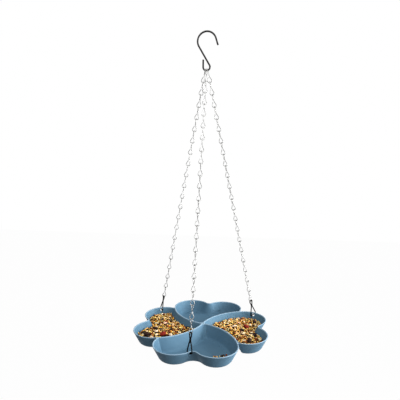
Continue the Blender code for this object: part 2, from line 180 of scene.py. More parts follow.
def tube(name, path, diameter, sides, closed, nose=0.35):
    """Round wire along a path. An open wire ends in a cut face with a rounded edge, nose deep in radii."""
    count = len(path)
    radius = diameter / 2
    frames, side = [], None
    for i, here in enumerate(path):
        before = path[i - 1] if closed or i else here
        after = path[(i + 1) % count] if closed or i + 1 < count else here
        along = ((here - before).normalized() + (after - here).normalized()).normalized()
        if side is None:
            side = along.orthogonal().normalized()
        side = (side - along * side.dot(along)).normalized()
        frames.append((along, side))
    slip = 0.0
    if closed:
        along, first = frames[0]
        last = frames[-1][1]
        last = (last - along * last.dot(along)).normalized()
        slip = math.atan2(first.cross(last).dot(along), first.dot(last))
    rings = []
    for i, (along, across) in enumerate(frames):
        across = Matrix.Rotation(-slip * i / count, 3, along) @ across
        rings.append((path[i], along, across, 1.0))
    if not closed:
        for end, way in ((0, -1), (-1, 1)):
            point, along, across, _ = rings[end]
            caps = []
            for step in range(1, CAP_STEPS + 1):
                angle = math.pi / 2 * step / CAP_STEPS
                out = point + along * (way * radius * nose * math.sin(angle))
                caps.append((out, along, across, 1 - nose * (1 - math.cos(angle))))
            rings = caps[::-1] + rings if end == 0 else rings + caps
    points, faces = [], []
    for point, along, across, scale in rings:
        other = along.cross(across)
        for k in range(sides):
            turn = 2 * math.pi * k / sides
            points.append(point + (across * math.cos(turn) + other * math.sin(turn)) * (radius * scale))
    total = len(rings)
    for i in range(total if closed else total - 1):
        here, there = i * sides, (i + 1) % total * sides
        for k in range(sides):
            n = (k + 1) % sides
            faces.append((here + k, here + n, there + n, there + k))
    if not closed:
        faces.append(tuple(range(sides))[::-1])
        faces.append(tuple(range((total - 1) * sides, total * sides)))
    return mesh_of(name, points, faces)


def arc(cx, cy, radius, start, end, steps):
    """Points along an arc, both ends included."""
    angles = np.linspace(start, end, steps + 1)
    return np.stack([cx + radius * np.cos(angles), cy + radius * np.sin(angles)], -1)


# Materials: colours are linear red, green and blue
PLASTIC_DARK, PLASTIC_LIGHT = (0.077, 0.161, 0.239), (0.093, 0.185, 0.265)
# The rim tint, laid over the band from RIM_LOW to RIM_HIGH below the rim's top, is a painted highlight
FLECK_TINT, RIM_HIGHLIGHT_TINT, GRAIN_DARK = (0.18, 0.295, 0.40), (0.37, 0.51, 0.63), (0.10, 0.05, 0.02)
RIM_LOW, RIM_HIGH, RIM_HIGHLIGHT_SHARE, FLECK_SHARE = -0.0016, -0.0001, 0.65, 0.35
PLASTIC_SHINE, GRAIN_SHINE = 0.08, 0.10
NOISE_MIDDLE, FLECK_RANGE, MARK_RANGE = (0.3, 0.7), (0.56, 0.72), (0.5, 0.75)
PLASTIC_ROUGH = (0.46, 0.62)
WIRE_DULL_SCALE, SCRATCH_SCALE = 420.0, 2600.0
FLOW_SCALE, FLECK_SCALE, PLASTIC_DULL_SCALE, PLASTIC_GRAIN_SCALE = 26.0, 1500.0, 60.0, 1100.0
WHITE = (1.0, 1.0, 1.0, 1.0)


def graph(name):
    """A new material, its node tree and its shader."""
    made = bpy.data.materials.new(name)
    made.use_nodes = True
    tree = made.node_tree
    return made, tree, tree.nodes["Principled BSDF"]


def node(tree, kind, **values):
    """A new node, with values for its inputs or its settings."""
    made = tree.nodes.new(kind)
    for key, value in values.items():
        if key in made.inputs:
            made.inputs[key].default_value = value
        else:
            setattr(made, key, value)
    return made


def noise(tree, scale, detail, roughness=0.5, distortion=0.0):
    """Noise fixed to the piece."""
    place = node(tree, "ShaderNodeTexCoord")
    made = node(tree, "ShaderNodeTexNoise", Scale=scale, Detail=detail, Roughness=roughness)
    made.inputs["Distortion"].default_value = distortion
    tree.links.new(place.outputs["Object"], made.inputs["Vector"])
    return made.outputs["Fac"]


def ramp(tree, factor, stops):
    """A factor turned into colour, by stops of place and colour."""
    made = node(tree, "ShaderNodeValToRGB")
    elements = made.color_ramp.elements
    while len(elements) < len(stops):
        elements.new(0.5)
    for element, (place, colour) in zip(elements, stops):
        element.position = place
        element.color = (*colour, 1.0)
    tree.links.new(factor, made.inputs["Fac"])
    return made.outputs["Color"]


def spread(tree, factor, low, high, from_low=0.0, from_high=1.0):
    """A factor stretched from one range to another."""
    made = node(tree, "ShaderNodeMapRange")
    made.inputs["From Min"].default_value = from_low
    made.inputs["From Max"].default_value = from_high
    made.inputs["To Min"].default_value = low
    made.inputs["To Max"].default_value = high
    tree.links.new(factor, made.inputs["Value"])
    return made.outputs["Result"]


def mixed(tree, factor, base, tint):
    """A base colour with a tint laid over it, by a factor."""
    made = node(tree, "ShaderNodeMix", data_type="RGBA")
    colours = {socket.name: socket for socket in made.inputs if socket.type == "RGBA"}
    tree.links.new(factor, made.inputs["Factor"])
    tree.links.new(base, colours["A"])
    colours["B"].default_value = (*tint, 1.0)
    return next(s for s in made.outputs if s.type == "RGBA")


def bumped(tree, shader, height, strength, distance):
    """A surface made uneven by a height."""
    made = node(tree, "ShaderNodeBump", Strength=strength, Distance=distance)
    tree.links.new(height, made.inputs["Height"])
    tree.links.new(made.outputs["Normal"], shader.inputs["Normal"])


def wire_finish(name, dark, light, rough_low, rough_high, patch_scale, edge=1.0):
    """Drawn wire: mottled metal with dull patches and faint scratches. Edge is its shine at low angles."""
    made, tree, shader = graph(name)
    shader.inputs["Metallic"].default_value = 1.0
    shader.inputs["Specular Tint"].default_value = (edge, edge, edge, 1.0)
    mottle = noise(tree, patch_scale, 4.0, 0.6)
    colour = ramp(tree, mottle, [(0.3, dark), (0.7, light)])
    tree.links.new(colour, shader.inputs["Base Color"])
    dull = spread(tree, noise(tree, WIRE_DULL_SCALE, 2.0), rough_low, rough_high, *NOISE_MIDDLE)
    tree.links.new(dull, shader.inputs["Roughness"])
    bumped(tree, shader, noise(tree, SCRATCH_SCALE, 2.0), strength=0.12, distance=0.0002)
    return made


def plastic_finish():
    """Blue moulded plastic: faint flow mottling, fine pale flecks, a painted highlight along the rim and a
    fine grain.
    """
    made, tree, shader = graph("moulded_blue_plastic")
    flow = noise(tree, FLOW_SCALE, 5.0, 0.55, distortion=0.8)
    body = ramp(tree, flow, [(0.25, PLASTIC_DARK), (0.75, PLASTIC_LIGHT)])
    fleck = noise(tree, FLECK_SCALE, 2.0, 0.6)
    body = mixed(tree, spread(tree, fleck, 0.0, FLECK_SHARE, *FLECK_RANGE), body, FLECK_TINT)
    place = node(tree, "ShaderNodeTexCoord")
    split = node(tree, "ShaderNodeSeparateXYZ")
    tree.links.new(place.outputs["Object"], split.inputs["Vector"])
    # Painted highlight: the plastic pales toward the rim tint near the rim's top
    rim = spread(tree, split.outputs["Z"], 0.0, RIM_HIGHLIGHT_SHARE, RIM_LOW, RIM_HIGH)
    body = mixed(tree, rim, body, RIM_HIGHLIGHT_TINT)
    tree.links.new(body, shader.inputs["Base Color"])
    dull = spread(tree, noise(tree, PLASTIC_DULL_SCALE, 4.0), *PLASTIC_ROUGH, *NOISE_MIDDLE)
    tree.links.new(dull, shader.inputs["Roughness"])
    shader.inputs["Specular IOR Level"].default_value = PLASTIC_SHINE
    bumped(tree, shader, noise(tree, PLASTIC_GRAIN_SCALE, 3.0, 0.6), strength=0.10, distance=0.0003)
    return made


def kernel_finish(name, tints, roughness, grain_scale, grain_depth, streak=0.25):
    """Seed skin: each kernel has its own tint, with darker grain and a slightly uneven surface."""
    made, tree, shader = graph(name)
    island = node(tree, "ShaderNodeNewGeometry").outputs["Random Per Island"]
    colour = ramp(tree, island, [(i / (len(tints) - 1), tint) for i, tint in enumerate(tints)])
    marks = noise(tree, grain_scale, 3.0, 0.6, distortion=0.6)
    colour = mixed(tree, spread(tree, marks, 0.0, streak, *MARK_RANGE), colour, GRAIN_DARK)
    tree.links.new(colour, shader.inputs["Base Color"])
    shader.inputs["Roughness"].default_value = roughness
    shader.inputs["Specular IOR Level"].default_value = GRAIN_SHINE
    bumped(tree, shader, noise(tree, grain_scale * 1.6, 3.0), strength=grain_depth, distance=0.0004)
    return made


STEEL = wire_finish("bright_zinc_wire", (0.05, 0.05, 0.048), (0.40, 0.40, 0.39), 0.20, 0.38, 500.0)
DARK_WIRE = wire_finish(
    "dark_nickel_wire", (0.003, 0.0034, 0.0038), (0.012, 0.013, 0.014), 0.22, 0.36, 900.0, edge=0.15)
GUNMETAL = wire_finish("gunmetal_bar", (0.012, 0.012, 0.012), (0.030, 0.0295, 0.029), 0.30, 0.45, 900.0)
PLASTIC = plastic_finish()


# S-hook
CROOK_STEPS, BEND_STEPS, SHANK_STEPS, END_STEPS, HOOK_SIDES = 60, 40, 14, 8, 20


def hook_path():
    """The bar's middle line, from the tip of the crook to the end of the lower bend."""
    crook_z = BEND_BOTTOM + BEND_RADIUS + CROOK_TO_BEND
    bend_z = BEND_BOTTOM + BEND_RADIUS
    lean = math.asin((CROOK_RADIUS + BEND_RADIUS) / CROOK_TO_BEND)
    over = arc(0.0, crook_z, CROOK_RADIUS, CROOK_OPEN_ANGLE, math.pi + lean, CROOK_STEPS)
    under = arc(0.0, bend_z, BEND_RADIUS, lean, -math.pi, BEND_STEPS)
    tip_way = np.array([math.sin(CROOK_OPEN_ANGLE), -math.cos(CROOK_OPEN_ANGLE)])
    ends = np.linspace(1.0, 0.1, END_STEPS)[:, None]
    tip = over[0] + ends * CROOK_TIP_LENGTH * tip_way
    shank = over[-1] + np.linspace(0.05, 0.95, SHANK_STEPS)[:, None] * (under[0] - over[-1])
    arm = under[-1] + ends[::-1] * BEND_ARM_LENGTH * np.array([0.0, 1.0])
    flat = np.vstack([tip, over, shank, under, arm])
    return [Vector((x, 0.0, z)) for x, z in flat]


hook = tube("s_hook_bar", hook_path(), HOOK_WIRE, HOOK_SIDES, False)
put("s_hook_bar", hook, GUNMETAL, "hook", replaced=["s_hook"])


# Jack chains and end rings
CREST_ANGLE, WAIST_SLACK, CORNER_BITE = math.radians(20), 1.1, 0.45
END_GAP, LINK_NOSE = 0.0004, 0.3
LINK_STEPS, RING_STEPS, LINK_SIDES, RING_SIDES = 7, 6, 10, 12


def loop_half(width, across):
    """Three points down one side of a loop's top, from near its crest to its widest place."""
    widest = math.pi / 2
    points = []
    for angle in (CREST_ANGLE, (CREST_ANGLE + widest) / 2, widest):
        drop = width / 2 * (math.cos(CREST_ANGLE) - math.cos(angle))
        points.append(across * (width / 2 * math.sin(angle)) - Vector((0.0, 0.0, drop)))
    return points


def link_path():
    """A link's wire from one cut end at the waist, round both loops, to the other end beside it."""
    waist = (LINK_WIRE + CLEARANCE) / 2 * WAIST_SLACK
    deep, wide = Vector((0.0, 1.0, 0.0)), Vector((1.0, 0.0, 0.0))
    bottom = Vector((0.0, 0.0, -LINK_LENGTH))
    upper = loop_half(LINK_WIDTH, deep)
    lower = [bottom + wide * p.y - Vector((0.0, 0.0, p.z)) for p in upper]
    middle = (deep + wide).normalized() * waist - Vector((0.0, 0.0, LINK_LENGTH / 2))
    near = [*upper, middle, *lower[::-1]]
    far = [Vector((-p.x, -p.y, p.z)) for p in near]
    whole = through([*near, *far[::-1]], LINK_STEPS)
    cut = min(range(len(whole)), key=lambda i: (whole[i] - far[len(upper)]).length)
    turned = whole[cut:] + whole[:cut]
    step = (turned[1] - turned[0]).length
    skip = 1 + int(END_GAP / step)
    return turned[skip : len(turned) - skip + 1]


def ring_path():
    """A ring's closed wire: a narrow top, a pinched waist and a wide foot with rounded corners."""
    waist = (RING_WIRE + CLEARANCE) / 2 * WAIST_SLACK
    upper = loop_half(RING_TOP_WIDTH, Vector((0.0, 1.0, 0.0)))
    middle = Vector((0.0, waist, -RING_WAIST_DROP))
    half = RING_WIDTH / 2
    slope = Vector((0.0, half - waist, RING_WAIST_DROP - RING_LENGTH)).normalized()
    corner = Vector((0.0, half, -RING_LENGTH))
    before = corner - slope * RING_CORNER
    after = corner - Vector((0.0, RING_CORNER, 0.0))
    leg = middle.lerp(before, 0.5)
    rounded = corner.lerp((before + after) / 2, CORNER_BITE)
    near = [*upper, middle, leg, before, rounded, after]
    far = [Vector((p.x, -p.y, p.z)) for p in near]
    return through([*near, *far[::-1]], RING_STEPS)


def chain_frame(start, grip, heading, share):
    """A link's frame: Z up the chain, X across it, eased round to face the wall it ends at."""
    up = (start - grip).normalized()
    across = Vector((1.0, 0.0, 0.0))
    across = (across - up * across.dot(up)).normalized()
    facing = heading if heading > 0 else heading + math.pi
    across = Matrix.Rotation((facing - math.pi / 2) * share, 3, up) @ across
    return Matrix((across, up.cross(across), up)).transposed().to_4x4()


def hang_chains():
    """Three chains of links from the hook's bend, each with its ring in the dish's wall."""
    link = tube("jack_link", link_path(), DRAWN_WIRE, LINK_SIDES, False, nose=LINK_NOSE)
    ring = tube("end_ring", ring_path(), DRAWN_RING, RING_SIDES, True)
    for side, start in STARTS.items():
        heading = HOLES[side][1]
        grip = DISH_MIDDLE + GRIPS[side]
        down = (grip - start).normalized()
        offset = 0.0
        for number in range(1, LINK_COUNT + 1):
            paired = number > SINGLE_LINKS
            first = number if not paired or (number - SINGLE_LINKS) % 2 else number - 1
            cad = f"links_{first:02d}_{first + 1:02d}" if paired else f"link_{number:02d}"
            turn = chain_frame(start, grip, heading, (first - 1) / LINK_COUNT)
            place = HANGING @ Matrix.Translation(start + down * offset) @ turn
            body = "top_links" if number == 1 else "hanging_dish"
            put(f"{side}_link_{number:02d}", link, STEEL, body, place, [f"{side}_chain_{cad}"])
            offset += PAIR_STEP if paired and first == number else LINK_PITCH
        turn = chain_frame(start, grip, heading, 1.0) @ Matrix.Rotation(RING_TURNS[side], 4, "Z")
        top = start + down * (CHAIN_LENGTH - RING_LENGTH)
        place = HANGING @ Matrix.Translation(top) @ turn
        put(f"{side}_ring", ring, DARK_WIRE, "hanging_dish", place, [f"{side}_end_ring"])


hang_chains()


# The bowls' shape as a distance field
GRID_STEP = 0.0004
GRID_LOW = np.array([-0.030, -0.095])
GRID_SIZE = (450, 475)
CORNER_BLEND, BLEND_START, BLEND_END, LEAST_BLEND = 0.0080, 0.040, 0.070, 0.01
WALL_STEPS, LOBE_STEPS, NOTCH_STEPS, JOIN_STEPS, TAIL_STEPS = 40, 60, 20, 50, 24
LOBE_START, TAIL_END = math.radians(-150), math.radians(10)
WALL_LEAD = np.array([[0.06], [0.03]])
BATCH = 8000
VALLEY_ROUND, HOLLOW_ROUND, RIM_ROUND, HOLE_ROUND = 0.0022, 0.0002, 0.0011, 0.0004
BORE_HALF = 0.012
VOXEL, KEPT_SHARE, FINE_ROUNDS, LAST_ROUNDS = 0.0009, 0.34, 4, 3
PROBE, STRIDE, LEAST_SLOPE = 0.00025, 0.0008, 0.05


def shared_wall(share):
    """Points along the wall two bowls share, from the dish's middle outwards: a cubic curve."""
    share = share[:, None]
    end = arc(LOBE_REACH, LOBE_SPREAD, LOBE_RADIUS, WALL_END, WALL_END, 0)[0]
    leave = WALL_PULL * np.array([math.cos(WALL_START), math.sin(WALL_START)])
    arrive = end + WALL_PULL * np.array([-math.sin(WALL_END), math.cos(WALL_END)])
    rest = 1 - share
    return 3 * rest**2 * share * leave + 3 * rest * share**2 * arrive + share**3 * end


def spun(points, angle):
    """Flat points turned about the dish's middle."""
    c, s = math.cos(angle), math.sin(angle)
    return np.stack([c * points[..., 0] - s * points[..., 1], s * points[..., 0] + c * points[..., 1]], -1)


def side_of(points, line):
    """Signed distance from points to an open line, positive on its left."""
    start, run = line[:-1], np.diff(line, axis=0)
    square = (run**2).sum(1)
    found = np.empty(len(points))
    for low in range(0, len(points), BATCH):
        part = points[low : low + BATCH, None, :] - start[None]
        share = np.clip((part * run).sum(-1) / square, 0.0, 1.0)
        off = part - share[..., None] * run
        gaps = (off**2).sum(-1)
        best = gaps.argmin(1)
        rows = np.arange(len(part))
        cross = run[best, 0] * off[rows, best, 1] - run[best, 1] * off[rows, best, 0]
        found[low : low + BATCH] = np.sqrt(gaps[rows, best]) * np.sign(cross)
    return found


def both(a, b, radius):
    """Inside of both, with a rounded edge of that radius where their surfaces meet."""
    u, v = np.maximum(radius + a, 0.0), np.maximum(radius + b, 0.0)
    return np.minimum(-radius, np.maximum(a, b)) + np.hypot(u, v)


def either(a, b, radius):
    """Inside of one or the other, with a fillet of that radius between them."""
    return -both(-a, -b, radius)


def bowl_field():
    """How far inside one bowl's wall line each point of a grid lies, with the bowl pointing to +X."""
    wall = shared_wall(np.linspace(0.0, 1.0, WALL_STEPS + 1))
    before = -WALL_LEAD * np.array([math.cos(WALL_START), math.sin(WALL_START)])
    notch = arc(NOTCH_REACH, 0.0, NOTCH_RADIUS, math.pi + NOTCH_LEAN, math.pi - NOTCH_LEAN, NOTCH_STEPS)
    own = np.vstack([
        arc(LOBE_REACH, -LOBE_SPREAD, LOBE_RADIUS, LOBE_START, NOTCH_LEAN, LOBE_STEPS),
        notch[1:-1],
        arc(LOBE_REACH, LOBE_SPREAD, LOBE_RADIUS, -NOTCH_LEAN, WALL_END, JOIN_STEPS),
        wall[::-1][1:],
        before[::-1],
    ])
    after = arc(LOBE_REACH, LOBE_SPREAD, LOBE_RADIUS, WALL_END, TAIL_END, TAIL_STEPS)[1:]
    next_wall = spun(np.vstack([before, wall, after]), -math.pi / 2)
    axes = [GRID_LOW[i] + GRID_STEP * np.arange(GRID_SIZE[i]) for i in (0, 1)]
    grid = np.stack(np.meshgrid(*axes, indexing="ij"), -1).reshape(-1, 2)
    first, second = side_of(grid, own), side_of(grid, next_wall)
    fade = (BLEND_END - np.hypot(grid[:, 0], grid[:, 1])) / (BLEND_END - BLEND_START)
    blend = CORNER_BLEND * np.clip(fade, LEAST_BLEND, 1.0)
    meet = np.maximum(blend - np.abs(first - second), 0.0)
    return (np.minimum(first, second) - meet**2 / (4 * blend)).reshape(GRID_SIZE)


FIELD = bowl_field()


def inside_bowl(flat, angle):
    """How far inside the wall line of the bowl at that angle each point lies."""
    local = (spun(flat, -angle) - GRID_LOW) / GRID_STEP
    top = np.array(GRID_SIZE) - 2
    cell = np.clip(np.floor(local).astype(int), 0, top)
    share = np.clip(local - cell, 0.0, 1.0)
    i, j = cell[:, 0], cell[:, 1]
    u, v = share[:, 0], share[:, 1]
    low = FIELD[i, j] * (1 - u) + FIELD[i + 1, j] * u
    high = FIELD[i, j + 1] * (1 - u) + FIELD[i + 1, j + 1] * u
    outside = np.hypot(*(local - np.clip(local, 0, top + 1)).T) * GRID_STEP
    return low * (1 - v) + high * v - outside


def under_wall(inset, depth, start, floor, fillet):
    """Distance inside a bowl whose wall leans in from start at the rim and rounds into a floor."""
    wall = (inset - start) * math.cos(FLARE) - depth * math.sin(FLARE)
    bottom = floor - depth
    lean = math.sin(FLARE)
    a = ((fillet - wall) - lean * (fillet - bottom)) / (1 - lean * lean)
    b = ((fillet - bottom) - lean * (fillet - wall)) / (1 - lean * lean)
    corner = fillet - np.sqrt(np.maximum(a * a + b * b + 2 * a * b * lean, 0.0))
    return np.where((a > 0) & (b > 0), corner, np.minimum(wall, bottom))


def hollow(points, angle):
    """How deep inside one bowl's hollow each point lies."""
    inset = inside_bowl(points[:, :2], angle)
    return under_wall(inset, -points[:, 2], WALL_THICKNESS / 2, CAVITY_DEPTH, FLOOR_FILLET)


def dish_field(points):
    """Distance to the dish's surface, negative in its plastic, in the dish's own frame."""
    depth = -points[:, 2]
    body, open_space = None, None
    for angle in BOWL_ANGLES.values():
        inset = inside_bowl(points[:, :2], angle)
        shell = -under_wall(inset, depth, -WALL_THICKNESS / 2, DISH_DEPTH, FLOOR_FILLET + WALL_THICKNESS)
        space = -under_wall(inset, depth, WALL_THICKNESS / 2, CAVITY_DEPTH, FLOOR_FILLET)
        body = shell if body is None else either(body, shell, VALLEY_ROUND)
        open_space = space if open_space is None else np.minimum(open_space, space)
    across = np.hypot(points[:, 0], points[:, 1])
    boss = np.maximum(across - CENTRE_ROUND, depth - CENTRE_DEPTH)
    body = either(body, boss, VALLEY_ROUND)
    solid = both(both(body, -open_space, HOLLOW_ROUND), -depth, RIM_ROUND)
    for place, heading in HOLES.values():
        off = points - np.array(place)
        way = np.array([math.cos(heading), math.sin(heading), 0.0])
        along = off @ way
        beside = np.linalg.norm(off - along[:, None] * way, axis=1)
        bore = np.maximum(beside - HOLE_RADIUS, np.abs(along) - BORE_HALF)
        solid = both(solid, -bore, HOLE_ROUND)
    return solid


def slope_of(field, points):
    """Which way and how fast a field grows at each point."""
    found = np.empty_like(points)
    for axis in range(3):
        shift = np.zeros(3)
        shift[axis] = PROBE
        found[:, axis] = (field(points + shift) - field(points - shift)) / (2 * PROBE)
    return found


def settle(mesh, field, rounds):
    """Moves a mesh's points onto the surface where the field is nought, and returns its normals there."""
    points = np.empty(len(mesh.vertices) * 3)
    mesh.vertices.foreach_get("co", points)
    points = points.reshape(-1, 3)
    for _ in range(rounds):
        value = field(points)
        slope = slope_of(field, points)
        length = np.maximum((slope**2).sum(1), LEAST_SLOPE)
        points = points - np.clip(value / length, -STRIDE, STRIDE)[:, None] * slope
    mesh.vertices.foreach_set("co", points.astype(np.float32).ravel())
    mesh.update()
    slope = slope_of(field, points)
    return slope / np.maximum(np.linalg.norm(slope, axis=1), 1e-9)[:, None]


def remade(mesh, kind, **settings):
    """A copy of a mesh after a modifier of that kind with its settings."""
    work = bpy.data.objects.new("work", mesh)
    bpy.context.scene.collection.objects.link(work)
    step = work.modifiers.new(kind, kind)
    for key, value in settings.items():
        setattr(step, key, value)
    made = bpy.data.meshes.new_from_object(work.evaluated_get(bpy.context.evaluated_depsgraph_get()))
    bpy.data.objects.remove(work, do_unlink=True)
    return made


def mould_dish():
    """The dish: the CAD's shape meshed evenly, laid on the distance field and thinned out."""
    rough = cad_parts["clover_dish"].data.copy()
    rough.transform(AT_DISH.inverted())
    fine = remade(rough, "REMESH", mode="VOXEL", voxel_size=VOXEL)
    settle(fine, dish_field, FINE_ROUNDS)
    lighter = remade(fine, "DECIMATE", ratio=KEPT_SHARE)
    normals = settle(lighter, dish_field, LAST_ROUNDS)
    lighter.name = "clover_dish_moulding"
    put("clover_dish_moulding", lighter, PLASTIC, "hanging_dish", AT_DISH, ["clover_dish"])
    lighter.normals_split_custom_set_from_vertices([tuple(n) for n in normals])


mould_dish()

# Seed mix: grains dropped one by one into the left and right bowls, and a few left in the front one
MIX_EDGE = SEED_DROP - CLEARANCE
MIX_LAYER = 0.0032
CROWN_REACH = 0.034
LATTICE = [0.0, math.pi / 3, 2 * math.pi / 3]
WAVE_RANGE, MOUND_FADE = 4.5, 4
CHIP_POINTS, CHIP_FORMS, CHIP_LEAST = 11, 6, 0.8
BALL_GAP, MEAL_ROUNDS = 0.0002, 6
SMALLEST, LARGEST, STEEPEST, HEIGHT_SPREAD = 0.86, 1.14, 0.6, 0.0008
LIFTS, LIFT_SLACK = 3, 1.2
BOWL_LOW, BOWL_HIGH, WALL_ROOM, BOWL_THROWS = (0.0, -0.085), (0.142, 0.085), 0.0075, 3
FIRST_TRIES, FIRST_LIMIT = 1400, -0.0022
LARGE_LIMIT = 0.006
MORE_TRIES, MORE_LIMIT = 4600, 0.0010
SCATTER_LOW, SCATTER_HIGH, SCATTER_THROWS = (0.028, -0.128), (0.074, -0.068), 4
SCATTER_EDGE, SCATTER_SLOPE = (0.039, -0.0892), 0.57
SCATTER_TRIES, SCATTER_LIMIT, SCATTER_SEED = 120, 0.005, (50, -87)
RNG = np.random.default_rng(11)


def mix_top(flat, angle):
    """Height of the mix's surface: the seed line at the wall, and a low crown of small mounds."""
    edge = WALL_THICKNESS / 2 + MIX_EDGE * math.tan(FLARE)
    share = np.clip((inside_bowl(flat, angle) - edge) / CROWN_REACH, 0.0, 1.0)
    wave = 4 * math.pi / (math.sqrt(3) * MOUND_SPACING)
    waves = sum(np.cos(wave * (flat[:, 0] * math.cos(a) + flat[:, 1] * math.sin(a))) for a in LATTICE)
    mounds = MOUND_HEIGHT * (len(LATTICE) - waves) / WAVE_RANGE * np.minimum(MOUND_FADE * share, 1.0)
    return SEED_CROWN * (1 - (1 - share) ** 2) - MIX_EDGE - mounds


def meal_top(flat, angle):
    """Height of the broken meal, one layer of grains below the mix's surface."""
    return mix_top(flat, angle) - MIX_LAYER


def grain(rings, sides, power, taper, groove=0.0, wrinkle=0.0, belly=1.0):
    """Skin of one grain lying along X in a box two units long: its points and faces."""
    points = [(-1.0, 0.0, 0.0)]
    for i in range(1, rings):
        x = -math.cos(math.pi * i / rings)
        girth = math.sin(math.pi * i / rings) ** power * (1 - taper * x) / (1 + 0.3 * taper)
        for k in range(sides):
            turn = 2 * math.pi * k / sides
            dent = 1 - groove * max(math.sin(turn), 0.0) ** 6
            dent += wrinkle * math.sin(5 * turn + 2.5 * x) * math.cos(3 * turn - 4 * x)
            y, z = girth * dent * math.cos(turn), girth * dent * math.sin(turn)
            points.append((x, y, z if z > 0 else z * belly))
    points.append((1.0, 0.0, 0.0))
    faces, last = [], len(points) - 1
    for k in range(sides):
        n = (k + 1) % sides
        faces.append((0, 1 + n, 1 + k))
        faces.append((last, last - sides + k, last - sides + n))
        for low in range(1, last - sides, sides):
            faces.append((low + k, low + n, low + sides + n, low + sides + k))
    return np.array(points), faces


def chip():
    """A piece of cracked grain: the hull of a few points flung onto a ball."""
    way = RNG.normal(size=(CHIP_POINTS, 3))
    shape = bmesh.new()
    reach = RNG.uniform(CHIP_LEAST, 1.0, (CHIP_POINTS, 1))
    for point in way / np.linalg.norm(way, axis=1)[:, None] * reach:
        shape.verts.new(point)
    bmesh.ops.convex_hull(shape, input=shape.verts)
    bmesh.ops.delete(shape, geom=[v for v in shape.verts if not v.link_faces], context="VERTS")
    shape.verts.index_update()
    points = np.array([tuple(v.co) for v in shape.verts])
    faces = [tuple(v.index for v in f.verts) for f in shape.faces]
    shape.free()
    return points, faces


# Each kind of grain: its share of the mix, length, width and height in millimetres, how far it rolls,
# its forms and its finish. A finish has tints, roughness, the scale and depth of its grain, and streaks
Kind = namedtuple("Kind", "share size roll forms finish")
KINDS = {
    "millet": Kind(0.28, (2.9, 2.6, 2.4), 3.0, [grain(5, 8, 1.0, 0.1)], kernel_finish(
        "millet_skin", [(0.82, 0.44, 0.05), (0.96, 0.66, 0.16), (0.98, 0.82, 0.40), (0.66, 0.24, 0.03)],
        0.5, 900.0, 0.15, 0.12)),
    "wheat": Kind(0.15, (6.8, 3.1, 2.8), 0.8, [grain(7, 10, 0.75, 0.10, groove=0.3)], kernel_finish(
        "wheat_skin", [(0.28, 0.09, 0.022), (0.72, 0.34, 0.08), (0.94, 0.60, 0.20)], 0.55, 700.0, 0.3)),
    "heart": Kind(0.22, (8.2, 4.8, 3.2), 0.4, [grain(7, 10, 0.8, 0.35)], kernel_finish(
        "hulled_sunflower",
        [(0.92, 0.58, 0.28), (0.99, 0.87, 0.60), (0.98, 0.78, 0.46), (0.80, 0.44, 0.18)],
        0.55, 500.0, 0.25, 0.12)),
    "corn": Kind(0.15, (5.8, 4.8, 4.0), 3.0, [chip() for _ in range(CHIP_FORMS)], kernel_finish(
        "cracked_corn", [(0.84, 0.25, 0.02), (0.98, 0.50, 0.04), (0.98, 0.74, 0.24)],
        0.45, 420.0, 0.2, 0.15)),
    "milo": Kind(0.08, (4.2, 3.9, 3.6), 3.0, [grain(6, 9, 1.0, 0.1)], kernel_finish(
        "milo_skin", [(0.12, 0.022, 0.010), (0.40, 0.085, 0.022)], 0.45, 600.0, 0.15)),
    "sunflower": Kind(0.10, (9.6, 4.8, 3.6), 0.4, [grain(8, 10, 0.85, 0.42)], kernel_finish(
        "sunflower_hull", [(0.010, 0.008, 0.007), (0.022, 0.018, 0.015), (0.09, 0.075, 0.06)],
        0.55, 380.0, 0.3)),
    "nut": Kind(0.02, (10.0, 7.0, 5.2), 0.5, [grain(9, 12, 0.7, 0.12, belly=0.3)], kernel_finish(
        "split_nut", [(0.92, 0.58, 0.40), (0.96, 0.74, 0.52), (0.97, 0.82, 0.64)], 0.55, 300.0, 0.3, 0.15)),
    "raisin": Kind(0.0, (12.5, 8.5, 6.0), 0.5, [grain(14, 18, 0.75, 0.15, wrinkle=0.17)], kernel_finish(
        "raisin_skin", [(0.012, 0.005, 0.005), (0.035, 0.013, 0.009)], 0.55, 260.0, 0.8)),
    "berry": Kind(0.0, (13.0, 9.0, 6.5), 0.5, [grain(14, 18, 0.7, 0.1, wrinkle=0.14)], kernel_finish(
        "berry_skin", [(0.15, 0.008, 0.006), (0.28, 0.022, 0.012)], 0.5, 240.0, 0.7)),
}
# The meal's near-black brown is partly painted shade: it stands for the dark gaps between the grains as
# well as the meal
MEAL_GAP_SHADE = kernel_finish("seed_meal_gap_shade", [(0.05, 0.022, 0.007), (0.10, 0.045, 0.013)], 0.8, 900.0, 0.9, 0.8)

# The fruits, nuts and large seeds that lie on top, by bowl, in millimetres from the dish's middle
LARGE_GRAINS = {
    "left": [("berry", -75, -46), ("milo", -53, -31), ("raisin", -107, -49), ("sunflower", -75, 27),
             ("raisin", -100, -18), ("sunflower", -64, -19), ("milo", -104, 50), ("nut", -92, -36),
             ("nut", -84, 8), ("sunflower", -45, -20), ("nut", -60, -42)],
    "right": [("berry", 94, 15), ("raisin", 111, -15), ("raisin", 100, -47), ("sunflower", 85, -2),
              ("milo", 84, -36), ("milo", 33, 32), ("sunflower", 50, 21), ("nut", 55, 42), ("nut", 76, 31),
              ("nut", 68, 12), ("raisin", 112, 46)],
}


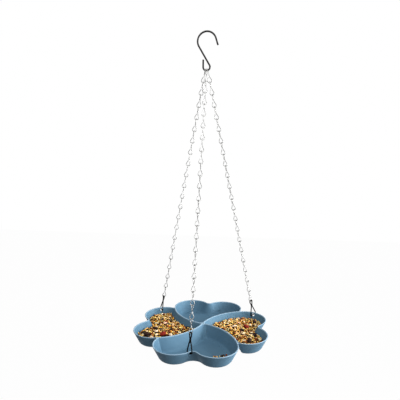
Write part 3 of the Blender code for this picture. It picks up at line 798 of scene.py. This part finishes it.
class Heap:
    """Grains lying in one bowl, each felt by the next ones as up to three balls along its length."""

    def __init__(self, bowl, bottom, top):
        self.bowl, self.bottom, self.top = bowl, bottom, top
        self.angle = BOWL_ANGLES[bowl]
        self.balls = np.zeros((0, 4))
        self.grains = {}

    def rest(self, spot, radius):
        """Lowest height at which a ball dropped over a spot clears all that lies there."""
        apart = np.hypot(self.balls[:, 0] - spot[0], self.balls[:, 1] - spot[1])
        reach = self.balls[:, 3] + radius
        under = apart < reach
        ground = self.bottom(spot[None], self.angle)[0] + radius
        tops = self.balls[under, 2] + np.sqrt(reach[under] ** 2 - apart[under] ** 2)
        return max(ground, tops.max(initial=ground))

    def drop(self, kind, spot, limit):
        """Lays one grain over a spot, unless it would stand above the heap's top by more than the limit."""
        roll = KINDS[kind].roll
        size = np.array(KINDS[kind].size) * MM * RNG.uniform(SMALLEST, LARGEST, 3)
        radius = (size[1] + size[2]) / 4
        half = max(size[0] / 2 - radius, 0.0)
        yaw = RNG.uniform(0, 2 * math.pi)
        way = np.array([math.cos(yaw), math.sin(yaw)])
        low, high = (self.rest(spot + way * half * s, radius) for s in (-1, 1))
        pitch = np.clip(math.atan2(high - low, 2 * half + radius), -STEEPEST, STEEPEST)
        height = max((low + high) / 2, self.rest(spot, radius))
        along = np.array([*(way * math.cos(pitch)), math.sin(pitch)]) * half
        middle = np.array([*spot, height])
        for _ in range(LIFTS):
            balls = middle + np.array([[-1.0], [0.0], [1.0]]) * along
            short = (radius + BALL_GAP - hollow(balls, self.angle)).max()
            if short <= 0:
                break
            middle = middle + np.array([0.0, 0.0, short * LIFT_SLACK])
        if short > 0 or middle[2] + radius > self.top(spot[None], self.angle)[0] + limit:
            return
        self.balls = np.vstack([self.balls, np.column_stack([balls, np.full(3, radius)])])
        turn = Matrix.Rotation(yaw, 3, "Z") @ Matrix.Rotation(-pitch, 3, "Y")
        turn = turn @ Matrix.Rotation(RNG.uniform(-roll, roll), 3, "X")
        self.grains.setdefault(kind, []).append((np.array(turn) * (size / 2), middle))

    def fill(self, tries, limit, spots):
        """Drops grains of the mix, one for each try, each with a limit of its own near the one given."""
        kinds = RNG.choice(list(KINDS), tries, p=[kind.share for kind in KINDS.values()])
        for kind, spot in zip(kinds, spots(tries)):
            self.drop(str(kind), spot, limit + RNG.uniform(-HEIGHT_SPREAD, HEIGHT_SPREAD))

    def finish(self, replaced):
        """One mesh for each kind of grain in the bowl."""
        for kind, laid in self.grains.items():
            forms = KINDS[kind].forms
            points, faces, base = [], [], 0
            for i, (turn, place) in enumerate(laid):
                form, sides = forms[i % len(forms)]
                points.append(form @ turn.T + place)
                faces += [tuple(base + v for v in face) for face in sides]
                base += len(form)
            name = f"{self.bowl}_{kind}"
            mesh = mesh_of(name, np.vstack(points), faces)
            put(name, mesh, KINDS[kind].finish, "hanging_dish", AT_DISH, replaced)
            if kind == "corn":
                mesh.shade_flat()


def meal_bed(bowl):
    """Fine broken meal under the grains, dark as painted gap shade: the CAD bed sunk below the surface,
    clear of the bowl.
    """
    angle = BOWL_ANGLES[bowl]
    node_name = f"{bowl}_seed_bed"
    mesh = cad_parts[node_name].data.copy()
    mesh.transform(AT_DISH.inverted())
    points = np.array([tuple(v.co) for v in mesh.vertices])
    points[:, 2] = np.minimum(points[:, 2], meal_top(points[:, :2], angle))
    for _ in range(MEAL_ROUNDS):
        short = np.maximum(2 * BALL_GAP - hollow(points, angle), 0.0)
        points += short[:, None] * slope_of(lambda p: hollow(p, angle), points)
    mesh.vertices.foreach_set("co", points.astype(np.float32).ravel())
    mesh.update()
    put(f"{bowl}_seed_meal_gap_shade", mesh, MEAL_GAP_SHADE, "hanging_dish", AT_DISH, [node_name])


def over_bowl(bowl):
    """A thrower of random spots over one bowl's seed bed."""
    angle = BOWL_ANGLES[bowl]

    def spots(count):
        local = RNG.uniform(BOWL_LOW, BOWL_HIGH, (count * BOWL_THROWS, 2))
        flat = spun(local, angle)
        return flat[inside_bowl(flat, angle) > WALL_ROOM][:count]

    return spots


def bowl_floor(flat, angle):
    """Height of a bowl's floor, the same all over and in every bowl."""
    return np.full(len(flat), -CAVITY_DEPTH)


def beside_front_rim(count):
    """Spots in the front bowl's right lobe, ahead of the line where its scatter of seeds ends."""
    flat = RNG.uniform(SCATTER_LOW, SCATTER_HIGH, (count * SCATTER_THROWS, 2))
    ahead = flat[:, 1] < SCATTER_EDGE[1] + SCATTER_SLOPE * (flat[:, 0] - SCATTER_EDGE[0])
    return flat[ahead][:count]


def pour_mix():
    """Two filled bowls and the few seeds left in the front one."""
    for bowl in ("left", "right"):
        meal_bed(bowl)
        heap = Heap(bowl, meal_top, mix_top)
        heap.fill(FIRST_TRIES, FIRST_LIMIT, over_bowl(bowl))
        for kind, x, y in LARGE_GRAINS[bowl]:
            heap.drop(kind, np.array([x, y]) * MM, LARGE_LIMIT)
        heap.fill(MORE_TRIES, MORE_LIMIT, over_bowl(bowl))
        heap.finish([f"{bowl}_seed_bed"])
    left_over = Heap("front", bowl_floor, bowl_floor)
    left_over.drop("sunflower", np.array(SCATTER_SEED) * MM, SCATTER_LIMIT)
    left_over.fill(SCATTER_TRIES, SCATTER_LIMIT, beside_front_rim)
    left_over.finish([])


pour_mix()

# Stage, light and camera
FLOOR_DROP, FLOOR_SIDE, FLOOR_GREY, FLOOR_GLOW = 1.55, 8.0, 0.5, 0.985
AMBIENT = 0.08
SENSOR = 36.0
PHOTO_SIDE = 400.0
PHOTO_FOCAL = 324.2
PHOTO_CENTRE = (214.6, 224.3)
CAMERA_PLACE = Vector((0.088353, -0.666263, -0.308335))
CAMERA_YAW, CAMERA_PITCH, CAMERA_ROLL = -0.099136, 0.104291, 0.019198
# Each light: its place, what it points at, its size and its watts
LIGHTS = {
    "key": ((1.5, -0.75, -0.25), (0.0, 0.0, -0.55), 1.0, 28.0),
    "top": ((0.0, -0.62, 0.70), (0.0, 0.0, -0.55), 0.8, 14.0),
    "side": ((1.6, 0.25, -0.15), (0.0, 0.0, -0.60), 0.8, 36.0),
    "back": ((-0.5, 1.4, -1.0), (0.0, 0.0, -0.60), 1.0, 13.0),
}


def any_ray(tree, *kinds):
    """One for a ray of any of these kinds, and nought for others."""
    path = node(tree, "ShaderNodeLightPath")
    found = path.outputs[f"Is {kinds[0]} Ray"]
    for kind in kinds[1:]:
        larger = node(tree, "ShaderNodeMath", operation="MAXIMUM")
        tree.links.new(found, larger.inputs[0])
        tree.links.new(path.outputs[f"Is {kind} Ray"], larger.inputs[1])
        found = larger.outputs[0]
    return found


def make_world():
    """White where it is seen or mirrored, and a faint even light on everything else."""
    world = bpy.data.worlds.new("soft_white")
    bpy.context.scene.world = world
    world.use_nodes = True
    tree = world.node_tree
    back = tree.nodes["Background"]
    back.inputs["Color"].default_value = WHITE
    level = spread(tree, any_ray(tree, "Camera", "Glossy", "Transmission"), AMBIENT, 1.0)
    tree.links.new(level, back.inputs["Strength"])


def make_floor():
    """A plain pale floor well below the dish: white to the camera, but for the soft shadow on it."""
    corners = [(-1, -1), (1, -1), (1, 1), (-1, 1)]
    points = [(x * FLOOR_SIDE, y * FLOOR_SIDE, 0.0) for x, y in corners]
    floor = bpy.data.objects.new("floor", mesh_of("floor", points, [(0, 1, 2, 3)]))
    bpy.context.scene.collection.objects.link(floor)
    floor.location = (0.0, 0.0, -FLOOR_DROP)
    made, tree, shader = graph("pale_floor")
    shader.inputs["Base Color"].default_value = (FLOOR_GREY, FLOOR_GREY, FLOOR_GREY, 1.0)
    shader.inputs["Roughness"].default_value = 0.9
    shader.inputs["Specular IOR Level"].default_value = 0.0
    share = spread(tree, any_ray(tree, "Camera", "Glossy"), 0.0, FLOOR_GLOW)
    glow = node(tree, "ShaderNodeEmission", Color=WHITE)
    blend = node(tree, "ShaderNodeMixShader")
    tree.links.new(share, blend.inputs["Fac"])
    tree.links.new(shader.outputs["BSDF"], blend.inputs[1])
    tree.links.new(glow.outputs["Emission"], blend.inputs[2])
    tree.links.new(blend.outputs["Shader"], tree.nodes["Material Output"].inputs["Surface"])
    floor.data.materials.append(made)


def area_light(name, place, aim, size, watts):
    """A round soft light that the camera doesn't see."""
    light = bpy.data.lights.new(name, "AREA")
    light.shape = "DISK"
    light.size = size
    light.energy = watts
    lamp = bpy.data.objects.new(name, light)
    bpy.context.scene.collection.objects.link(lamp)
    lamp.location = place
    lamp.visible_camera = False
    lamp.rotation_euler = (Vector(aim) - Vector(place)).to_track_quat("-Z", "Y").to_euler()


def make_camera():
    """The photo's camera, as fitted to the chains and the dish."""
    data = bpy.data.cameras.new("camera")
    data.sensor_fit = "HORIZONTAL"
    data.sensor_width = SENSOR
    data.lens = SENSOR * PHOTO_FOCAL / PHOTO_SIDE
    data.shift_x = -(PHOTO_CENTRE[0] - PHOTO_SIDE / 2) / PHOTO_SIDE
    data.shift_y = (PHOTO_CENTRE[1] - PHOTO_SIDE / 2) / PHOTO_SIDE
    data.clip_start = 0.02
    yaw, pitch, roll = CAMERA_YAW, CAMERA_PITCH, CAMERA_ROLL
    ahead = Vector((math.sin(yaw) * math.cos(pitch), math.cos(yaw) * math.cos(pitch), -math.sin(pitch)))
    right = Vector((math.cos(yaw), -math.sin(yaw), 0.0))
    up = right.cross(ahead)
    side = right * math.cos(roll) + up * math.sin(roll)
    top = up * math.cos(roll) - right * math.sin(roll)
    camera = bpy.data.objects.new("camera", data)
    bpy.context.scene.collection.objects.link(camera)
    turn = Matrix((side, top, -ahead)).transposed().to_4x4()
    camera.matrix_world = Matrix.Translation(CAMERA_PLACE) @ turn
    bpy.context.scene.camera = camera


make_world()
make_floor()
for light_name, settings in LIGHTS.items():
    area_light(light_name, *settings)
make_camera()
bpy.context.scene.view_settings.view_transform = "Standard"
